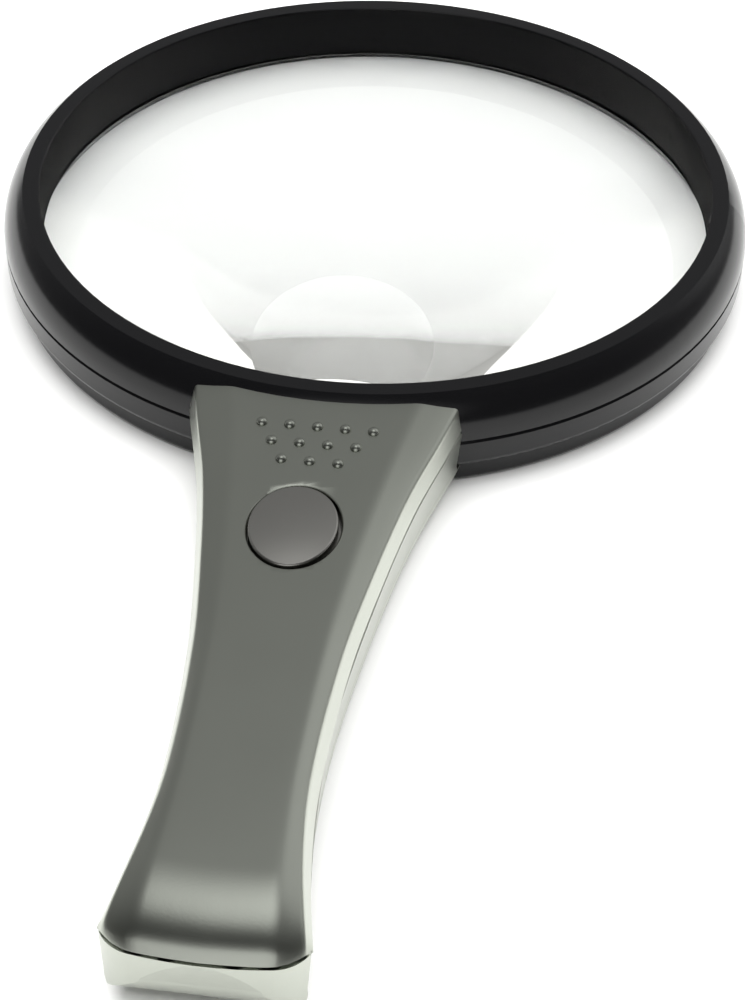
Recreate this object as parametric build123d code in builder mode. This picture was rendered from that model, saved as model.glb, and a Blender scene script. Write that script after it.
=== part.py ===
"""Lighted low vision magnifier: a 127 mm lens in a two-piece ring, on a battery handle.

The object lies on the ring's rear rim with the lens facing up. X runs across the handle, the handle
points towards -Y, and Z is the optical axis. The origin is at the bottom centre of the bounding box.
"Reach" is a distance from the optical axis towards the tail of the handle. All sizes are in millimetres.
"""
import os
from math import cos, sin, sqrt

from build123d import *

# Ring
RING_R = 69.0  # widest radius, at the parting line
RING_H = 18.0
FRONT_OPENING_R = 62.0
FRONT_SKIRT_R = 62.35  # the front wall drafts out to this at the lens
TOP_LAND_R = 65.1  # outer edge of the flat front face
PARTING_Z = 9.75
REAR_OPENING_R = 62.2
LIP_R = 67.3  # rear lip below the ridge
RIDGE_Z = 5.4
RING_INNER_R = 63.5  # inside of the front ring's wall, over the lens's edge
REAR_CUP_R = 63.65  # the rear ring's cup, which holds the lens's edge
REAR_WALL_R = 65.2
REAR_STEP_R = 67.0
RING_SLOPE_R = 68.7  # bottom of the shadow groove at the parting line
FIT_GAP = 0.1

# Lens
LENS_R = 63.5
LENS_BACK_Z = 4.6  # rear seat
LENS_EDGE = 3.0
LENS_CLEAR_R = 62.15  # where the curved faces meet the flat clamping land
REAR_RIM_Z = 3.9  # rim of the rear face, which stands behind the seat
FRONT_CURVE_R = 192.0
REAR_CURVE_R = 540.0
INSERT_REACH = 44.5  # round high-power insert moulded in the front face
INSERT_CURVE_R = 70.0
INSERT_RISE = 1.15
INSERT_BLANK_R = 17.0

# Handle
TAIL_REACH = 176.0
HANDLE_TOP = 17.0
HANDLE_BOTTOM = 0.6
SEAM_Z = 12.0
SHOULDER_Z = 15.9  # lower edge of the chamfer band along the top
SIDE_LEAN = 1.0  # how far the side wall leans in between seam and shoulder
SEAM_GROOVE = 0.3
WALL = 1.6
ROOF_Z = HANDLE_TOP - WALL
FLOOR_Z = 2.0
# reach, half width at the seam, half width of the flat top
STATIONS = (
    (60.0, 23.8, 16.4),
    (72.0, 21.0, 14.1),
    (86.0, 17.5, 12.0),
    (104.0, 14.4, 9.9),
    (122.0, 12.1, 8.7),
    (145.0, 11.1, 8.2),
    (160.0, 12.2, 8.5),
    (178.0, 15.4, 9.2),
)
TAIL_CORNER = (13.9, 172.2)  # half width and reach of the tail's pointed corners
TAIL_FLAT_HALF = 9.5
TAIL_FLAT_REACH = 175.3
ROLL_START = 166.0  # reach where the top starts to roll down to the tail seam
ROLL_R = 12.5
ROLL_DROP = HANDLE_TOP - SEAM_Z
ROLL_RUN = sqrt(ROLL_R**2 - (ROLL_R - ROLL_DROP) ** 2)
NEAR_REACH = 50.0  # cutting shapes run from here
FAR_REACH = 190.0  # to here, clear of the handle at both ends
CLEAR_HALF_X = 30.0

# Tactile dots
DOT_ROWS = (5, 4, 3)
DOT_PITCH_X = 4.54
DOT_PITCH_Y = 4.3
DOT_REACH = 73.0
DOT_R = 0.95
DOT_SINK = 0.3

# Push button and dome switch
BUTTON_REACH = 97.0
BUTTON_HALF_X = 6.9
BUTTON_HALF_Y = 9.05
BUTTON_GAP = 0.35
BUTTON_SHIFT = (-0.2, 0.12)  # the button rests against one side of its loose opening
BUTTON_RISE = 0.85
BUTTON_CROWN_R = 60.0
FLANGE_EXTRA = 1.45
FLANGE_H = 0.95
BUTTON_WALL = 1.3
NUB_R = 1.5
DOME_R = 4.0
DOME_RISE = 0.68
DOME_T = 0.15

# Circuit board
BOARD_BOTTOM = 12.85
BOARD_T = 0.8
BOARD_TOP = BOARD_BOTTOM + BOARD_T
BOARD_HALF_X = 10.0
BOARD_START = 82.0
BOARD_END = 106.0
BOARD_SCREW = (8.0, 84.4)  # half spacing and reach

# Handle screws: half spacing, reach
RING_SCREWS = (11.0, 76.0)
MID_SCREWS = (8.8, 110.0)
SCREW_R = 1.0
SCREW_HOLE_R = 1.3
PILOT_R = 1.05
HEAD_R = 2.1
HEAD_Z = 0.9
HEAD_H = 1.6
SCREW_END = 13.6
BOSS_R = 2.5
LUG_BOTTOM = 6.0
LUG_TOP = 9.1
LUG_HALF_X = 3.4
LUG_END = 81.0

# Batteries, two AAA cells in line
CELL_R = 5.25
CELL_BODY = 43.7
CELL_NUB = 0.8
CELL_NUB_R = 1.9
CELL_Z = 7.35
CELL_START = 77.8  # tip of the front cell
CELL_PITCH = CELL_BODY + CELL_NUB
CELL_END = CELL_START + 2 * CELL_PITCH
CONTACT_T = 0.4
SPRING_GAP = 3.8
SPRING_WIRE_R = 0.3
SPRING_COIL_R = 2.6
SPRING_PITCH = 1.05
STRIP_X = -5.65
STRIP_T = 0.3

# Battery door
DOOR_START = 118.2
DOOR_HALF_X = 6.9
DOOR_T = 1.2
DOOR_GAP = 0.15
RAIL_T = 0.7
RAIL_START = 125.0
RAIL_END = 165.0
RAIL_OUTER = 9.0
RAIL_TOP = 3.4
OPENING_HALF_X = 6.3
OPENING_END = 170.0
THUMB_RIBS = 5

# Light
HOOD_HALF_X = 10.0
HOOD_DEPTH = 8.5
HOOD_BOTTOM = 0.5
HOOD_TOP = 3.3
HOOD_WALL = 1.2
HOOD_ROOF = 0.7
LENS_GAP = 0.12  # between the hood's roof and the lens
WINDOW_T = 0.7
LED_BOARD_HALF_X = 4.8
LED_BOARD_T = 0.5
LED_BOARD_START = 56.3
LED_BOARD_END = 71.5
LED_SIZE = (2.8, 3.2, 0.7)
LED_PITCH = 3.3
LED_REACH = 58.4
SLOT_HALF_X = 5.2
LEAD_R = 0.4
LEAD_X = 3.0
LEAD_REACH = 70.6
LEAD_BEND_R = 2.5

LENS_Y = (TAIL_REACH - RING_R) / 2
OPTICAL_AXIS = Axis((0, LENS_Y, 0), (0, 0, 1))
SEAT_TOP = LENS_BACK_Z + LENS_EDGE
LED_BOARD_Z = HOOD_TOP - HOOD_ROOF - LED_BOARD_T


def at(reach):
    """The Y position of a point at this reach."""
    return LENS_Y - reach


def section(reach=0.0):
    """A vertical plane across the handle, with local axes X and Z."""
    return Plane(origin=(0, at(reach), 0), x_dir=(1, 0, 0), z_dir=(0, -1, 0))


def side_plane(x=0.0):
    """A vertical plane along the handle, with local axes reach and Z."""
    return Plane(origin=(x, LENS_Y, 0), x_dir=(0, -1, 0), z_dir=(-1, 0, 0))


def pair(half_spacing, reach):
    """Two positions, left and right of the middle."""
    return [(-half_spacing, at(reach)), (half_spacing, at(reach))]


def sag(curve_r, radius):
    """Height of a spherical face's centre over its rim."""
    return curve_r - sqrt(curve_r**2 - radius**2)


def save(part, name):
    """Label a finished piece and write it."""
    part.label = name
    export_step(part, f"parts/{name}.step")


os.makedirs("parts", exist_ok=True)

# ---------------------------------------------------------------- lens ring
with BuildPart() as front_ring:
    with BuildSketch(section()):
        with BuildLine():
            Polyline((RING_INNER_R, SEAT_TOP), (FRONT_SKIRT_R, SEAT_TOP), (FRONT_OPENING_R, 17.6))
            RadiusArc((FRONT_OPENING_R, 17.6), (62.4, RING_H), 0.4)
            Line((62.4, RING_H), (TOP_LAND_R, RING_H))
            ThreePointArc((TOP_LAND_R, RING_H), (67.95, 14.7), (RING_R, PARTING_Z + 0.35))
            Polyline((RING_R, PARTING_Z + 0.35), (RING_SLOPE_R, PARTING_Z), (67.1, PARTING_Z))
            ThreePointArc((67.1, PARTING_Z), (66.3, 13.4), (64.4, 16.3))
            Polyline((64.4, 16.3), (RING_INNER_R, 16.3), (RING_INNER_R, SEAT_TOP))
        make_face()
    revolve(axis=OPTICAL_AXIS)
save(front_ring.part, "front_ring")

with BuildPart() as rear_ring:
    with BuildSketch(section()):
        with BuildLine():
            Polyline(
                (62.7, 0),
                (REAR_OPENING_R, 0.5),
                (REAR_OPENING_R, LENS_BACK_Z),
                (REAR_CUP_R, LENS_BACK_Z),
                (REAR_CUP_R, 11.5),
                (REAR_WALL_R, 11.5),
                (REAR_WALL_R, RIDGE_Z),
                (REAR_STEP_R, RIDGE_Z),
                (REAR_STEP_R, PARTING_Z),
                (RING_SLOPE_R, PARTING_Z),
                (RING_R, PARTING_Z - 0.35),
                (RING_R, RIDGE_Z + 0.3),
            )
            RadiusArc((RING_R, RIDGE_Z + 0.3), (68.2, RIDGE_Z - 0.9), 1.6)
            Polyline((68.2, RIDGE_Z - 0.9), (67.55, RIDGE_Z - 1.1), (LIP_R, 1.3))
            RadiusArc((LIP_R, 1.3), (66.0, 0), 1.3)
            Line((66.0, 0), (62.7, 0))
        make_face()
    revolve(axis=OPTICAL_AXIS)
    # lugs that the two handle shells clamp
    with BuildSketch(Plane.XY.offset(LUG_BOTTOM)):
        for side in (-1, 1):
            with Locations((side * RING_SCREWS[0], at((66.4 + LUG_END) / 2))):
                RectangleRounded(2 * LUG_HALF_X, LUG_END - 66.4, 1.2)
    extrude(amount=LUG_TOP - LUG_BOTTOM)
    with BuildSketch(Plane.XY.offset(LUG_BOTTOM)):
        with Locations(pair(*RING_SCREWS)):
            Circle(SCREW_HOLE_R)
    extrude(amount=LUG_TOP - LUG_BOTTOM, mode=Mode.SUBTRACT)
    # passage for the light's board
    with BuildSketch(section(60)):
        with Locations((0, LED_BOARD_Z + LED_BOARD_T / 2)):
            Rectangle(2 * SLOT_HALF_X, LED_BOARD_T + 0.3)
    extrude(amount=10, mode=Mode.SUBTRACT)
save(rear_ring.part, "rear_ring")

# The outer shape of the closed ring, used to fit the handle's head around it.
with BuildPart() as ring_envelope:
    with BuildSketch(section()):
        with BuildLine():
            Polyline(
                (0, RING_H + 2),
                (0, -1),
                (LIP_R + 0.4, -1),
                (LIP_R + 0.4, RIDGE_Z - 1.3),
                (RING_R + FIT_GAP, RIDGE_Z - 1.3),
                (RING_R + FIT_GAP, PARTING_Z + 0.35),
            )
            ThreePointArc(
                (RING_R + FIT_GAP, PARTING_Z + 0.35),
                (67.95 + FIT_GAP, 14.7 + FIT_GAP),
                (TOP_LAND_R + FIT_GAP, RING_H + FIT_GAP),
            )
            Polyline(
                (TOP_LAND_R + FIT_GAP, RING_H + FIT_GAP),
                (TOP_LAND_R + FIT_GAP, RING_H + 2),
                (0, RING_H + 2),
            )
        make_face()
    revolve(axis=OPTICAL_AXIS)

# ---------------------------------------------------------------- lens
front_rise = sag(FRONT_CURVE_R, LENS_CLEAR_R)
rear_apex = REAR_RIM_Z - sag(REAR_CURVE_R, LENS_CLEAR_R)
insert_tilt = INSERT_REACH / FRONT_CURVE_R
insert_normal = Vector(0, -sin(insert_tilt), cos(insert_tilt))
insert_foot = Vector(0, at(INSERT_REACH), SEAT_TOP + front_rise - sag(FRONT_CURVE_R, INSERT_REACH))
insert_centre = insert_foot + insert_normal * (INSERT_RISE - INSERT_CURVE_R)
insert_cap = (Pos(*insert_centre) * Sphere(INSERT_CURVE_R)) & (
    Plane(origin=insert_foot, z_dir=insert_normal) * Cylinder(INSERT_BLANK_R, 6)
)

with BuildPart() as lens:
    with BuildSketch(section()):
        with BuildLine():
            Line((0, SEAT_TOP + front_rise), (0, rear_apex))
            ThreePointArc(
                (0, rear_apex),
                (LENS_CLEAR_R / 2, rear_apex + sag(REAR_CURVE_R, LENS_CLEAR_R / 2)),
                (LENS_CLEAR_R, REAR_RIM_Z),
            )
            Polyline(
                (LENS_CLEAR_R, REAR_RIM_Z),
                (LENS_CLEAR_R, LENS_BACK_Z),
                (LENS_R, LENS_BACK_Z),
                (LENS_R, SEAT_TOP),
                (LENS_CLEAR_R, SEAT_TOP),
            )
            ThreePointArc(
                (LENS_CLEAR_R, SEAT_TOP),
                (LENS_CLEAR_R / 2, SEAT_TOP + front_rise - sag(FRONT_CURVE_R, LENS_CLEAR_R / 2)),
                (0, SEAT_TOP + front_rise),
            )
        make_face()
    revolve(axis=OPTICAL_AXIS)
    add(insert_cap)
save(lens.part, "lens")


# ---------------------------------------------------------------- handle shells
def top_section(reach, half, flat, inset=0.0):
    """One outline of the top shell; an inset gives its cavity."""
    shoulder = half - SIDE_LEAN
    with BuildSketch(section(reach)) as profile:
        with BuildLine():
            if inset:
                right = [
                    (half - inset, SEAM_Z - 1),
                    (half - inset, SEAM_Z),
                    (shoulder - inset, SHOULDER_Z - 0.5 * inset),
                    (flat - 0.3 * inset, ROOF_Z),
                ]
            else:
                right = [
                    (half - SEAM_GROOVE, SEAM_Z),
                    (half, SEAM_Z + SEAM_GROOVE),
                    (shoulder, SHOULDER_Z),
                    (flat, HANDLE_TOP),
                ]
            left = [(-x, z) for x, z in reversed(right)]
            Polyline(right + left, close=True)
        make_face()
    return profile.sketch


def bottom_section(reach, half, inset=0.0):
    """One outline of the bottom shell; an inset gives its cavity."""
    low = FLOOR_Z if inset else HANDLE_BOTTOM
    rim = SEAM_Z + 1 if inset else SEAM_Z
    groove = 0 if inset else SEAM_GROOVE
    side = half - inset
    with BuildSketch(section(reach)) as profile:
        with BuildLine():
            Polyline((side - 3.2, low), (3.2 - side, low))
            ThreePointArc((3.2 - side, low), (1.2 - side, low + 1.5), (0.6 - side, low + 4.4))
            Polyline(
                (0.6 - side, low + 4.4),
                (-side, SEAM_Z - SEAM_GROOVE),
                (groove - side, rim),
                (side - groove, rim),
                (side, SEAM_Z - SEAM_GROOVE),
                (side - 0.6, low + 4.4),
            )
            ThreePointArc((side - 0.6, low + 4.4), (side - 1.2, low + 1.5), (side - 3.2, low))
        make_face()
    return profile.sketch


def tail_outline(inset=0.0):
    """The handle's plan shape, long past the ring, closed by the curved tail."""
    corner_x, corner_reach = TAIL_CORNER
    with BuildSketch() as plan:
        with BuildLine():
            flat_left = (-TAIL_FLAT_HALF, at(TAIL_FLAT_REACH - inset))
            flat_right = (TAIL_FLAT_HALF, at(TAIL_FLAT_REACH - inset))
            tail = ThreePointArc(flat_left, (0, at(TAIL_REACH - inset)), flat_right)
            corner = (corner_x, at(corner_reach - inset))
            right = TangentArc(flat_right, corner, tangent=tail % 1)
            side = Polyline(
                corner,
                (corner_x + 2, at(corner_reach - 6)),
                (CLEAR_HALF_X, at(150)),
                (CLEAR_HALF_X, at(NEAR_REACH)),
                (0, at(NEAR_REACH)),
            )
            mirror([right, side], about=Plane.YZ)
        make_face()
    return plan.sketch


def top_side(inset=0.0):
    """Side outline of the top shell, with the top rolling down to the tail seam."""
    top = HANDLE_TOP - inset
    end_z = top - ROLL_DROP
    with BuildSketch(side_plane()) as outline:
        with BuildLine():
            start = (ROLL_START - inset, top)
            end = (ROLL_START - inset + ROLL_RUN, end_z)
            RadiusArc(start, end, ROLL_R)
            Polyline(end, (end[0] + 1, end_z - 2), (NEAR_REACH, end_z - 2), (NEAR_REACH, top), start)
        make_face()
    return outline.sketch


def bottom_side(inset=0.0):
    """Side outline of the bottom shell, with the tail curving under."""
    low = HANDLE_BOTTOM + inset
    end = TAIL_REACH - inset
    with BuildSketch(side_plane()) as outline:
        with BuildLine():
            Polyline((NEAR_REACH, SEAM_Z + 2), (NEAR_REACH, low), (end - 7, low))
            ThreePointArc((end - 7, low), (end - 2.2, low + 2.2), (end - 0.5, low + 6.6))
            Polyline(
                (end - 0.5, low + 6.6), (end, SEAM_Z - 0.2), (end, SEAM_Z + 2), (NEAR_REACH, SEAM_Z + 2)
            )
        make_face()
    return outline.sketch


with BuildPart() as handle_top_shell:
    loft([top_section(reach, half, flat) for reach, half, flat in STATIONS])
    extrude(top_side(), amount=40, both=True, mode=Mode.INTERSECT)
    extrude(tail_outline(), amount=40, mode=Mode.INTERSECT)
    with BuildPart(mode=Mode.SUBTRACT):
        loft([top_section(reach, half, flat, WALL) for reach, half, flat in STATIONS])
        extrude(top_side(WALL), amount=40, both=True, mode=Mode.INTERSECT)
        extrude(tail_outline(WALL), amount=40, mode=Mode.INTERSECT)
    # screw posts under the roof
    with BuildSketch(Plane.XY.offset(LUG_TOP + FIT_GAP)):
        with Locations(pair(*RING_SCREWS) + pair(*MID_SCREWS)):
            Circle(BOSS_R)
    extrude(until=Until.NEXT)
    with BuildSketch(Plane.XY.offset(BOARD_TOP)):
        with Locations(pair(*BOARD_SCREW)):
            Circle(1.9)
    extrude(until=Until.NEXT)
    with BuildSketch(Plane.XY.offset(LUG_TOP)):
        with Locations(pair(*RING_SCREWS) + pair(*MID_SCREWS)):
            Circle(PILOT_R)
    extrude(amount=SCREW_END + 0.6 - LUG_TOP, mode=Mode.SUBTRACT)
    with BuildSketch(Plane.XY.offset(BOARD_TOP)):
        with Locations(pair(*BOARD_SCREW)):
            Circle(0.75)
    extrude(amount=2.2, mode=Mode.SUBTRACT)
    # button opening
    with BuildSketch(Plane.XY.offset(ROOF_Z - 1)):
        with Locations((0, at(BUTTON_REACH))):
            Ellipse(BUTTON_HALF_X + BUTTON_GAP, BUTTON_HALF_Y + BUTTON_GAP)
    extrude(amount=5, mode=Mode.SUBTRACT)
    # tactile dots, each row centred on the handle
    for row, count in enumerate(DOT_ROWS):
        with Locations((0, at(DOT_REACH + row * DOT_PITCH_Y), HANDLE_TOP - DOT_SINK)):
            with GridLocations(DOT_PITCH_X, 1, count, 1):
                Sphere(DOT_R)
    add(ring_envelope.part, mode=Mode.SUBTRACT)
save(handle_top_shell.part, "handle_top_shell")

with BuildPart() as handle_bottom_shell:
    loft([bottom_section(reach, half) for reach, half, _ in STATIONS])
    extrude(bottom_side(), amount=40, both=True, mode=Mode.INTERSECT)
    extrude(tail_outline(), amount=40, mode=Mode.INTERSECT)
    with BuildPart(mode=Mode.SUBTRACT):
        loft([bottom_section(reach, half, WALL) for reach, half, _ in STATIONS])
        extrude(bottom_side(FLOOR_Z - HANDLE_BOTTOM), amount=40, both=True, mode=Mode.INTERSECT)
        extrude(tail_outline(WALL), amount=40, mode=Mode.INTERSECT)
    # screw posts: short ones under the ring's lugs, tall ones at mid handle
    with BuildSketch(Plane.XY.offset(HANDLE_BOTTOM + 0.5)):
        with Locations(pair(*RING_SCREWS)):
            Circle(BOSS_R)
    extrude(amount=LUG_BOTTOM - FIT_GAP - HANDLE_BOTTOM - 0.5)
    with BuildSketch(Plane.XY.offset(HANDLE_BOTTOM + 0.5)):
        with Locations(pair(*MID_SCREWS)):
            Circle(BOSS_R)
    extrude(amount=LUG_TOP - HANDLE_BOTTOM - 0.5)
    with Locations(*[(x, y, HANDLE_BOTTOM) for x, y in pair(*RING_SCREWS) + pair(*MID_SCREWS)]):
        Cylinder(SCREW_HOLE_R, 20, mode=Mode.SUBTRACT)
        Cylinder(
            HEAD_R + 0.2,
            HEAD_Z + HEAD_H - HANDLE_BOTTOM,
            align=(Align.CENTER, Align.CENTER, Align.MIN),
            mode=Mode.SUBTRACT,
        )
    # rails beside the battery opening
    with BuildSketch(Plane.XY.offset(HANDLE_BOTTOM + 0.6)):
        with Locations((0, at((DOOR_START + OPENING_END) / 2 - 1))):
            with GridLocations(RAIL_OUTER + OPENING_HALF_X, 1, 2, 1):
                Rectangle(RAIL_OUTER - OPENING_HALF_X, OPENING_END - DOOR_START + 2)
    extrude(amount=RAIL_TOP - HANDLE_BOTTOM - 0.6)
    with BuildSketch(Plane.XY.offset(HANDLE_BOTTOM - 1)):
        with Locations((0, at((DOOR_START + 0.8 + OPENING_END) / 2))):
            Rectangle(2 * OPENING_HALF_X, OPENING_END - DOOR_START - 0.8)
    extrude(amount=6, mode=Mode.SUBTRACT)
    # door pocket and the grooves for its tongues, both open at the tail
    with BuildSketch(Plane.XY.offset(HANDLE_BOTTOM - 1)):
        with Locations((0, at((DOOR_START - DOOR_GAP + FAR_REACH) / 2))):
            Rectangle(2 * (DOOR_HALF_X + DOOR_GAP), FAR_REACH - DOOR_START + DOOR_GAP)
    extrude(amount=1 + DOOR_T + DOOR_GAP, mode=Mode.SUBTRACT)
    with BuildSketch(Plane.XY.offset(HANDLE_BOTTOM + DOOR_T / 2 - DOOR_GAP)):
        with Locations((0, at((RAIL_START - DOOR_GAP + FAR_REACH) / 2))):
            Rectangle(2 * (DOOR_HALF_X + RAIL_T + DOOR_GAP), FAR_REACH - RAIL_START + DOOR_GAP)
    extrude(amount=DOOR_T / 2 + 2 * DOOR_GAP, mode=Mode.SUBTRACT)
    # wall that carries the tail contact
    with BuildSketch(Plane.XY.offset(RAIL_TOP - 0.6)):
        with Locations((0, at(CELL_END + SPRING_GAP + CONTACT_T + 0.7))):
            Rectangle(13, 1.4)
    extrude(amount=6)
    add(ring_envelope.part, mode=Mode.SUBTRACT)
save(handle_bottom_shell.part, "handle_bottom_shell")

# ---------------------------------------------------------------- button and switch
flange_top = ROOF_Z - FIT_GAP
button_top = HANDLE_TOP + BUTTON_RISE
button_x = BUTTON_SHIFT[0]
button_y = at(BUTTON_REACH) + BUTTON_SHIFT[1]
with BuildPart() as push_button:
    with BuildSketch(Plane.XY.offset(flange_top - FLANGE_H)):
        with Locations((button_x, button_y)):
            Ellipse(BUTTON_HALF_X + FLANGE_EXTRA, BUTTON_HALF_Y + FLANGE_EXTRA)
    extrude(amount=FLANGE_H)
    with BuildSketch(Plane.XY.offset(flange_top - FLANGE_H)):
        with Locations((button_x, button_y)):
            Ellipse(BUTTON_HALF_X, BUTTON_HALF_Y)
    extrude(amount=button_top - flange_top + FLANGE_H)
    # crowned top, then the hollow underside
    with Locations((button_x, button_y, button_top - BUTTON_CROWN_R)):
        Sphere(BUTTON_CROWN_R, mode=Mode.INTERSECT)
    with BuildSketch(Plane.XY.offset(flange_top - FLANGE_H)):
        with Locations((button_x, button_y)):
            Ellipse(BUTTON_HALF_X - BUTTON_WALL, BUTTON_HALF_Y - BUTTON_WALL)
            Circle(NUB_R, mode=Mode.SUBTRACT)
    extrude(amount=button_top - BUTTON_WALL - flange_top + FLANGE_H - 0.5, mode=Mode.SUBTRACT)
    top_rim = push_button.edges().filter_by_position(Axis.Z, HANDLE_TOP - 0.4, button_top)
    fillet(top_rim, radius=0.35)
save(push_button.part, "push_button")

dome_curve_r = (DOME_R**2 + DOME_RISE**2) / (2 * DOME_RISE)
dome_inner_r = sqrt((dome_curve_r - DOME_T) ** 2 - (dome_curve_r - DOME_RISE) ** 2)
with BuildPart() as switch_dome:
    with BuildSketch(section(BUTTON_REACH)):
        with BuildLine():
            RadiusArc((0, BOARD_TOP + DOME_RISE), (DOME_R, BOARD_TOP), dome_curve_r)
            Line((DOME_R, BOARD_TOP), (dome_inner_r, BOARD_TOP))
            RadiusArc((dome_inner_r, BOARD_TOP), (0, BOARD_TOP + DOME_RISE - DOME_T), DOME_T - dome_curve_r)
            Line((0, BOARD_TOP + DOME_RISE - DOME_T), (0, BOARD_TOP + DOME_RISE))
        make_face()
    revolve(axis=Axis((0, at(BUTTON_REACH), 0), (0, 0, 1)))
save(switch_dome.part, "switch_dome")

with BuildPart() as circuit_board:
    with BuildSketch(Plane.XY.offset(BOARD_BOTTOM)):
        with Locations((0, at((BOARD_START + BOARD_END) / 2))):
            RectangleRounded(2 * BOARD_HALF_X, BOARD_END - BOARD_START, 1)
        with Locations(pair(*BOARD_SCREW)):
            Circle(0.95, mode=Mode.SUBTRACT)
    extrude(amount=BOARD_T)
save(circuit_board.part, "circuit_board")

with BuildPart() as resistor:
    with BuildSketch(Plane.XY.offset(BOARD_BOTTOM - 0.5)):
        with Locations((8.2, at(94))):
            Rectangle(1.6, 3.2)
    extrude(amount=0.5)
    fillet(resistor.edges().filter_by(Axis.Z), radius=0.2)
save(resistor.part, "resistor")

# ---------------------------------------------------------------- screws
with BuildPart() as handle_screws:
    spots = pair(*RING_SCREWS) + pair(*MID_SCREWS)
    with BuildSketch(Plane.XY.offset(HEAD_Z)):
        with Locations(spots):
            Circle(HEAD_R)
    extrude(amount=HEAD_H)
    chamfer(handle_screws.edges().group_by(Axis.Z)[0], length=0.35)
    with BuildSketch(Plane.XY.offset(HEAD_Z + HEAD_H)):
        with Locations(spots):
            Circle(SCREW_R)
    extrude(amount=SCREW_END - HEAD_Z - HEAD_H)
    chamfer(handle_screws.edges().group_by(Axis.Z)[-1], length=0.4)
    with BuildSketch(Plane.XY.offset(HEAD_Z)):
        with Locations(spots):
            Rectangle(2.6, 0.55)
            Rectangle(0.55, 2.6)
    extrude(amount=0.8, mode=Mode.SUBTRACT)
save(handle_screws.part, "handle_screws")

with BuildPart() as board_screws:
    with BuildSketch(Plane.XY.offset(BOARD_BOTTOM - 0.9)):
        with Locations(pair(*BOARD_SCREW)):
            Circle(1.6)
    extrude(amount=0.9)
    with BuildSketch(Plane.XY.offset(BOARD_BOTTOM)):
        with Locations(pair(*BOARD_SCREW)):
            Circle(0.7)
    extrude(amount=2.6)
    with BuildSketch(Plane.XY.offset(BOARD_BOTTOM - 0.9)):
        with Locations(pair(*BOARD_SCREW)):
            Rectangle(2, 0.45)
            Rectangle(0.45, 2)
    extrude(amount=0.4, mode=Mode.SUBTRACT)
save(board_screws.part, "board_screws")

# ---------------------------------------------------------------- batteries and contacts
for name, start in (("battery_front", CELL_START), ("battery_rear", CELL_START + CELL_PITCH)):
    with BuildPart() as cell:
        with BuildSketch(side_plane()):
            with BuildLine():
                Polyline(
                    (start, CELL_Z),
                    (start, CELL_Z + CELL_NUB_R),
                    (start + CELL_NUB, CELL_Z + CELL_NUB_R),
                    (start + CELL_NUB, CELL_Z + CELL_R - 0.5),
                    (start + CELL_NUB + 0.5, CELL_Z + CELL_R),
                    (start + CELL_PITCH - 0.4, CELL_Z + CELL_R),
                    (start + CELL_PITCH, CELL_Z + CELL_R - 0.4),
                    (start + CELL_PITCH, CELL_Z),
                    close=True,
                )
            make_face()
        revolve(axis=Axis((0, 0, CELL_Z), (0, 1, 0)))
    save(cell.part, name)

with BuildPart() as positive_contact:
    with BuildSketch(side_plane()):
        with BuildLine():
            Polyline(
                (CELL_START, 2.6),
                (CELL_START, BOARD_TOP),
                (84, BOARD_TOP),
                (84, BOARD_TOP + CONTACT_T),
                (CELL_START - CONTACT_T, BOARD_TOP + CONTACT_T),
                (CELL_START - CONTACT_T, 2.6),
                close=True,
            )
        make_face()
    extrude(amount=1.5, both=True)
    with BuildSketch(section(CELL_START - CONTACT_T)):
        with Locations((0, 7)):
            RectangleRounded(8, 8.8, 1)
    extrude(amount=CONTACT_T)
save(positive_contact.part, "positive_contact")

spring_turns = (SPRING_GAP - 2 * SPRING_WIRE_R) / SPRING_PITCH
with BuildPart() as negative_spring:
    spring_base = Plane(
        origin=(0, at(CELL_END + SPRING_WIRE_R), CELL_Z), x_dir=(1, 0, 0), z_dir=(0, -1, 0)
    )
    coil = spring_base * Helix(SPRING_PITCH, spring_turns * SPRING_PITCH, SPRING_COIL_R)
    with BuildSketch(Plane(origin=coil @ 0, z_dir=coil % 0)):
        Circle(SPRING_WIRE_R)
    sweep(path=coil)
save(negative_spring.part, "negative_spring")

plate_reach = CELL_END + SPRING_GAP
with BuildPart() as negative_strip:
    with BuildSketch(section(plate_reach)):
        with Locations((0, 7)):
            RectangleRounded(10, 8, 1)
        with Locations((STRIP_X / 2, 7)):
            Rectangle(-STRIP_X, 2)
    extrude(amount=CONTACT_T)
    with BuildSketch(side_plane(STRIP_X)):
        with BuildLine():
            Polyline(
                (plate_reach + CONTACT_T, 6),
                (plate_reach + CONTACT_T, 8),
                (105, 8),
                (105, BOARD_BOTTOM),
                (103, BOARD_BOTTOM),
                (103, 6),
                close=True,
            )
        make_face()
    extrude(amount=STRIP_T)
save(negative_strip.part, "negative_strip")

# ---------------------------------------------------------------- battery door
with BuildPart() as battery_door:
    with BuildSketch(Plane.XY.offset(HANDLE_BOTTOM)):
        with Locations((0, at((DOOR_START + FAR_REACH) / 2))):
            Rectangle(2 * DOOR_HALF_X, FAR_REACH - DOOR_START)
    extrude(amount=DOOR_T)
    with BuildSketch(Plane.XY.offset(HANDLE_BOTTOM + DOOR_T / 2)):
        with Locations((0, at((RAIL_START + RAIL_END) / 2))):
            Rectangle(2 * (DOOR_HALF_X + RAIL_T), RAIL_END - RAIL_START)
    extrude(amount=DOOR_T / 2)
    extrude(bottom_side(), amount=20, both=True, mode=Mode.INTERSECT)
    extrude(tail_outline(), amount=20, mode=Mode.INTERSECT)
    # thumb grooves across the outside
    with BuildSketch(Plane.XY.offset(HANDLE_BOTTOM)):
        with Locations((0, at(128))):
            with GridLocations(1, 2.2, 1, THUMB_RIBS):
                SlotOverall(9, 0.9)
    extrude(amount=0.4, mode=Mode.SUBTRACT)
save(battery_door.part, "battery_door")


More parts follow.
